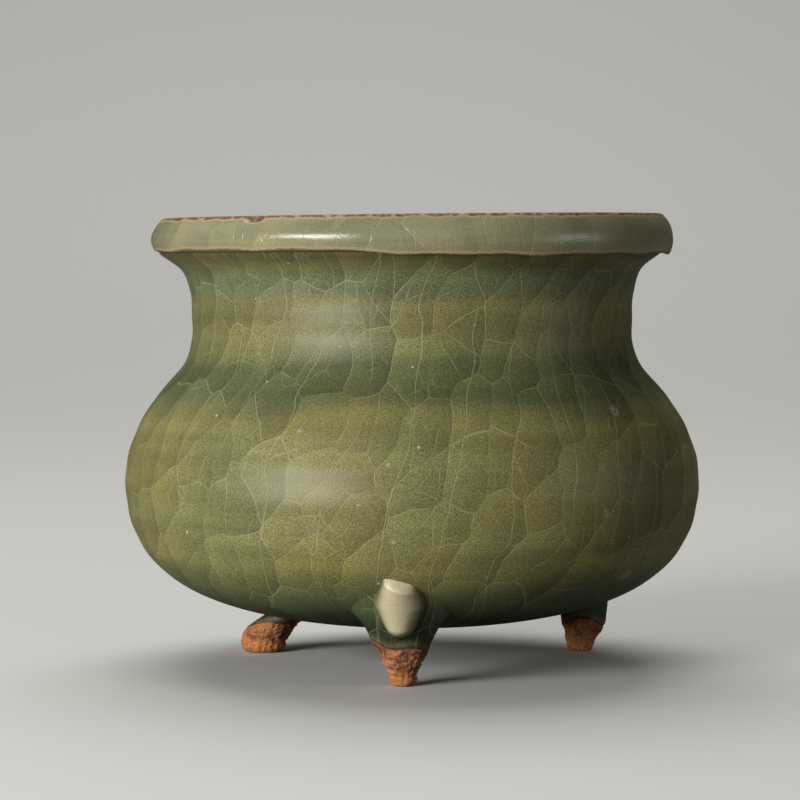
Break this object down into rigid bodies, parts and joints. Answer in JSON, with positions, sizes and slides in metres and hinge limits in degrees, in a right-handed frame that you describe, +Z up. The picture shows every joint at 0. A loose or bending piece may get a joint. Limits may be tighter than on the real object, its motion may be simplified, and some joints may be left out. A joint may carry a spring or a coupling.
{
  "type": "tripod incense burner",
  "caption": "Squat globular stoneware incense burner with a waisted neck, a thick band rim and short feet with bare toes, for burning incense in a bed of ash.",
  "frame": {"origin": "on the table under the middle of the belly, where the feet stand", "axes": "+Z up along the pot's turning axis, -Y towards the front foot, +X to the right seen from the front"},
  "size_m": [0.172, 0.172, 0.134],
  "materials": {
    "celadon": "olive green crackled glaze, satin gloss",
    "rim_glaze": "paler grey green glaze, glossy, brown at its edges",
    "foot_glaze": "green glaze over rough clay burnt orange at the toes"
  },
  "bodies": {
    "root": {"lower_bowl": "celadon", "shoulder": "celadon", "neck": "celadon", "rim_band": "rim_glaze", "front_foot": "foot_glaze", "rear_right_foot": "foot_glaze", "rear_left_foot": "foot_glaze"}
  },
  "joints": []
}
